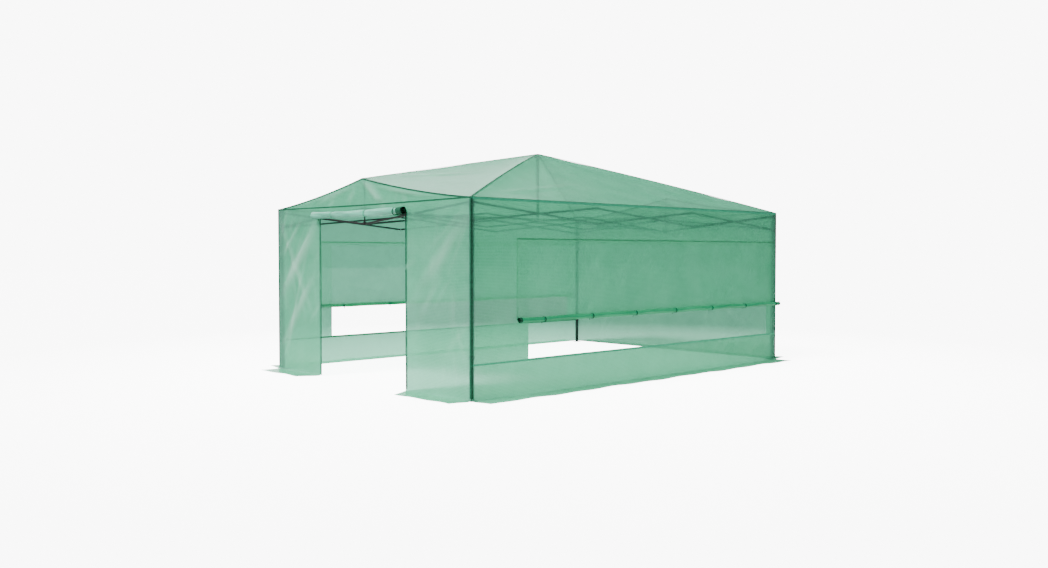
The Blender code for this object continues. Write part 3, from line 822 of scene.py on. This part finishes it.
# %% Hems and welded seams
seam_lines = []
outer = skirt - 0.006
for sx in (1, -1):
    y = stations([-end_y + 0.022, end_y - 0.022], 0.05)
    hem = 0.0030 + ground_ripple(y, outer, 1.3 + sx)
    seam_lines.append(taped(sx * (side_x + outer), y, hem, 0.012, UP, HEM_THICK))
    y = stations([-end_y, end_y], 0.05)
    sill_x = sx * (side_x + 0.0006 + side_relief(y, 0.300 + 0 * y))
    seam_lines.append(taped(sill_x, y, 0.300, 0.016, (sx, 0, 0), HEM_THICK))
    seam_lines.append(taped(sx * (side_x + 0.0028), stations(flap_y, 0.05), hem_z - 0.006, 0.012,
                            (sx, 0, 0), HEM_THICK, slot=1))
for sy, runs in ((-1, ((-side_x, door[0], 0.02, 0.12), (door[1], side_x, 0.12, 0.02))),
                 (1, ((-side_x, side_x, 0.02, 0.02),))):
    for low, high, cut_low, cut_high in runs:
        x = stations([low + cut_low, high - cut_high], 0.04)
        hem = 0.0030 + ground_ripple(x, outer, 2.1 + sy)
        seam_lines.append(taped(x, sy * (end_y + outer), hem, 0.012, UP, HEM_THICK))
piece_of("seams_and_hems", seam_lines, [welded, woven_film], "cover")
print("hems and seams:", len(seam_lines))

# %% [markdown]
# ## Zips
# The door closes with a nylon coil zip down each side. A coil is a tube whose radius swells at each turn
# of the spiral. A real turn is 1 mm; here it is 6 mm, so that the zip reads as one from near.

# %% Door zips with their sliders
ZIP_TURN = 0.006


def coil(at):
    z = np.arange(0.02, door_top - 0.01, 0.0015)
    swell = 1 + 0.28 * np.sin(z * math.tau / ZIP_TURN)
    turn = np.arange(6) * math.tau / 6
    return carried(joined(at, -end_y - 0.0042, z), 0.0024 * joined(np.cos(turn), np.sin(turn)),
                   (0, -1, 0), swell)


def zip_slider(at):
    z = np.linspace(0, 1, 7)
    base = np.array((at, -end_y - 0.0075, door_top - 0.045))
    back = carried(base + z[:, None] * (0, 0, 0.020), band(0.012, 0.004), (0, -1, 0),
                   0.7 + 0.3 * np.sin(np.pi * z), slot=1)
    pull = carried(base + z[:, None] * (0, -0.002, -0.034) + (0, -0.004, 0.004), band(0.008, 0.002),
                   (0, -1, 0), 1 - 0.3 * np.abs(2 * z - 1), slot=1)
    return [back, pull]


inset = 0.016
zips = [coil(door[0] - inset), coil(door[1] + inset)]
zips += zip_slider(door[0] - inset) + zip_slider(door[1] + inset)
piece_of("door_zips", zips, [zip_coil, nylon], "cover")
print("zip turns:", round((door_top - 0.03) / ZIP_TURN))

# %% [markdown]
# ## Straps on the legs
# The cover is held to each leg by straps of webbing with hook-and-loop ends. A strap is a band carried
# round a rounded square, with a short tab sewn to the film.

# %% Leg straps
def round_square(cx, cy, z, half, count, power):
    """Points round a centre where |x|^power + |y|^power is half^power: a square with soft corners."""
    turn = np.arange(count) * math.tau / count
    reach = half / (np.abs(np.cos(turn)) ** power + np.abs(np.sin(turn)) ** power) ** (1 / power)
    return joined(cx + reach * np.cos(turn), cy + reach * np.sin(turn), z)


def strap(cx, cy, z, half=0.0185):
    loop = round_square(cx, cy, z, half, 24, 6)
    ring = carried(loop, [(0.0006, -0.0125), (0.0006, 0.0125), (-0.0006, 0.0125), (-0.0006, -0.0125)],
                   UP, loop=True)
    t = np.linspace(0, 1, 4)[:, None]
    start = np.array((cx + math.copysign(half, cx), cy, z))
    tab = carried(start + t * (math.copysign(side_x - leg_x - half - 0.001, cx), 0, 0),
                  band(0.0012, 0.025), UP)
    return [ring, tab]


for corner, sx, sy in CORNERS:
    loops = [s for z in (0.36, 0.88, 1.36) for s in strap(sx * leg_x, sy * leg_y, z)]
    piece_of(f"leg_straps_{corner}", loops, [webbing], "cover")
print("legs with straps:", len(CORNERS))

# %% [markdown]
# ## Rivets and end plugs
# The bars cross on steel rivets with domed heads, and a nylon plug closes each open tube end. They are
# small and there are many, so a dome has three rings of eight faces. Each set rides on its own bar.

# %% Fittings of the bars
TOP, LOW = 1.640, 1.4975  # heights of the upper and lower pivots
BAY = 1.480  # distance from one pivot to the next, along the truss
xs = np.array([-leg_x + 0.034, -0.026, 0.026, leg_x - 0.034])
ys = -leg_y + 0.046 + BAY * np.arange(4)


def dome(centre, axis, radius=0.0068, height=0.0030, rings=4, sides=8):
    turn = np.linspace(0, math.pi / 2, rings)
    return turned(joined(radius * np.cos(turn), height * np.sin(turn)), centre, axis, sides, 1)


def plug(end, ahead, across):
    line = end + np.array([-0.004, 0.0, 0.0015, 0.0028])[:, None] * ahead
    outline = [(-0.0038, -0.0082), (0.0038, -0.0082), (0.0044, -0.0076), (0.0044, 0.0076),
               (0.0038, 0.0082), (-0.0038, 0.0082), (-0.0044, 0.0076), (-0.0044, -0.0076)]
    return carried(line, outline, np.cross(ahead, across), [1, 1, 0.96, 0.72])


def bar_fittings(name, start, end, across, offset, stack, pins):
    """start and end are the bar's pivots; offset puts the bar to one side of its truss's plane."""
    start, end, across = (np.asarray(v, float) for v in (start, end, across))
    ahead = unit(end - start)
    shapes = [plug(start - 0.009 * ahead + offset * across, -ahead, across),
              plug(end + 0.009 * ahead + offset * across, ahead, across)]
    for at in pins:
        pin = (start + end) / 2 + at * (end - start) / 2
        shapes += [dome(pin + s * stack * across, s * across) for s in (1, -1)]
    piece_of(f"fittings_{name}", shapes, [nylon, zinc], name)


def bar_side(name, axis, plane):
    """+1 or -1: the side of its truss's plane on which a bar lies. The falling bar's box shows it, and
    the rising bar lies opposite."""
    low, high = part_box(name.replace("rising", "falling"))
    side = 1 if (low[axis] + high[axis]) / 2 > plane else -1
    return side if "falling" in name else -side


KINDS = (("falling", TOP, LOW), ("rising", LOW, TOP))
bars = [(f"{word}_bar_{kind}_{i + 1}", (xs[2 * i], plane, z0), (xs[2 * i + 1], plane, z1), 1, plane,
         0.0055, 0.0124, (0,) if kind == "rising" else ())
        for word, plane in (("front", -leg_y), ("rear", leg_y)) for i in range(2)
        for kind, z0, z1 in KINDS]
bars += [(f"{word}_bar_{kind}_{i + 1}", (plane, ys[i], z0), (plane, ys[i + 1], z1), 0, plane,
          0.016 if word == "middle" else 0.0055, 0.0229 if word == "middle" else 0.0124,
          ((0, 1), (-1, 0, 1), (-1, 0))[i] if kind == "rising" else ())
         for word, plane in (("left", -leg_x), ("right", leg_x), ("middle", 0.0)) for i in range(3)
         for kind, z0, z1 in KINDS]
for name, start, end, axis, plane, offset, stack, pins in bars:
    across = np.eye(3)[axis]
    bar_fittings(name, start, end, across, offset * bar_side(name, axis, plane), stack, pins)
print("bars with fittings:", len(bars))

# %% [markdown]
# ## Feet and spring buttons
# The foot plate is welded to the leg, so a small bead runs round the tube. A spring button in the leg
# stops the slider when the frame is open. It is a dome that stands 4 mm out of the tube.

# %% Leg details
for corner, sx, sy in CORNERS:
    bead = round_square(sx * leg_x, sy * leg_y, 0.0040, 0.0140, 32, 10)
    weld = carried(bead, [(0.0, -0.0002), (0.0036, -0.0002), (0.0026, 0.0016), (0.0012, 0.0030),
                          (0.0, 0.0038), (-0.0006, 0.0015)], UP, loop=True)
    button = dome((sx * (leg_x - 0.0140), sy * leg_y, 1.440), (-sx, 0, 0), 0.0045, 0.0040, 5, 12)
    piece_of(f"leg_details_{corner}", [weld, button], [powder, zinc], f"leg_{corner}")
print("legs with a weld and a button:", len(CORNERS))

# %% [markdown]
# ## Floor, light and camera
# The greenhouse stands on a pale floor, under a broad lamp in front of it and a soft sky. Open floor and
# sky are white, but they are dimmer where they show through the film, as for a real greenhouse in front
# of a bright wall. The floor darkens with distance to the tone of that sky, so that no horizon crosses
# the film. A low glare at the far left makes the front slope of the roof shine.

# %% Floor
def open_view(tree, otherwise, seen):
    """The second value where the camera looks past the film, and the first for every other ray."""
    ray = node(tree, "LightPath").outputs
    past = node(tree, "Math", {0: ray["Transparent Depth"], 1: 0.5}, operation="LESS_THAN")
    both = node(tree, "Math", {0: past, 1: ray["Is Camera Ray"]}, operation="MULTIPLY")
    return node(tree, "Mix", {0: both, 2: otherwise, 3: seen})


NEAR, FAR = 2.0, 6.5  # the floor darkens between these distances from the middle
FLOOR_GLOW = 8.6
floor_finish, tree = new_finish("Pale matt floor")
place = node(tree, "TexCoord").outputs["Object"]
grain = node(tree, "TexNoise", {"Vector": place, "Scale": 40.0, "Detail": 4.0})
near = two_tones(tree, grain, "#F4F4F2", "#FAFAF9", 0.3, 0.7)
away = node(tree, "VectorMath", {0: place}, operation="LENGTH").outputs["Value"]
far = node(tree, "MapRange", {"Value": away, "From Min": NEAR, "From Max": FAR})
tone = node(tree, "MixRGB", {"Fac": far, "Color1": near, "Color2": linear("#5C5C5C")})
matt = node(tree, "BsdfPrincipled", {
    "Base Color": tone, "Roughness": 0.9, "Specular IOR Level": 0.1,
    "Emission Color": linear("#FFFFFF"), "Emission Strength": open_view(tree, 0.0, FLOOR_GLOW)})
node(tree, "OutputMaterial", {"Surface": matt})
half = 60.0  # half the floor's width
floor_grid = np.stack(np.meshgrid(np.linspace(-half, half, 3), np.linspace(-half, half, 3)), -1)
floor = sheet_piece("floor", np.concatenate([floor_grid, np.full((3, 3, 1), -0.0008)], -1),
                    floor_grid / half, [floor_finish])

# %% Light
SKY_DIM, SKY_BRIGHT, SKY_BEHIND, SKY_SEEN = 0.20, 0.85, 0.26, 9.0
GLARE, GLARE_FROM = 8.5, (-0.92, 0.30, 0.25)
SKY_FROM = (-0.05, -0.70, 0.71)  # the sky is brightest here
LAMP_FROM = (-1.0, -9.0, 11.0)
world = bpy.data.worlds.new("Even sky")
world.use_nodes = True
world.node_tree.nodes.clear()
sky_tree = world.node_tree
aim = node(sky_tree, "TexCoord").outputs["Generated"]
side_on = node(sky_tree, "VectorMath", {0: aim, 1: SKY_FROM}, operation="DOT_PRODUCT")
level = node(sky_tree, "MapRange", {
    "Value": side_on.outputs["Value"], "From Min": -0.8, "From Max": 0.9, "To Min": SKY_DIM,
    "To Max": SKY_BRIGHT})
low_left = node(sky_tree, "VectorMath", {0: aim, 1: GLARE_FROM}, operation="DOT_PRODUCT")
glare = node(sky_tree, "MapRange", {
    "Value": low_left.outputs["Value"], "From Min": 0.83, "From Max": 0.97, "To Min": 0.0,
    "To Max": GLARE})
lit = node(sky_tree, "Math", {0: level, 1: glare}, operation="ADD")
ray = node(sky_tree, "LightPath").outputs
behind = node(sky_tree, "Mix", {0: ray["Is Camera Ray"], 2: lit, 3: SKY_BEHIND})
sky = node(sky_tree, "Background", {
    "Color": (1.0, 1.0, 1.0, 1.0), "Strength": open_view(sky_tree, behind, SKY_SEEN)})
node(sky_tree, "OutputWorld", {"Surface": sky})
bpy.context.scene.world = world

lamp = bpy.data.objects.new("Broad lamp", bpy.data.lights.new("Broad lamp", "SUN"))
lamp.data.energy, lamp.data.angle = 8.8, math.radians(20)
lamp.location = LAMP_FROM
lx, ly, lz = LAMP_FROM
lamp.rotation_euler = (math.atan2(math.hypot(lx, ly), lz), 0, math.atan2(lx, -ly))
bpy.context.scene.collection.objects.link(lamp)

# %% Camera
camera = bpy.data.objects.new("Camera", bpy.data.cameras.new("Camera"))
camera.location = (7.4621, -7.2939, 1.2203)
camera.rotation_euler = (math.pi / 2 - 0.0324, 0, 0.8113)
camera.data.lens, camera.data.sensor_width = 32.49, 36.0
bpy.context.scene.collection.objects.link(camera)
bpy.context.scene.camera = camera
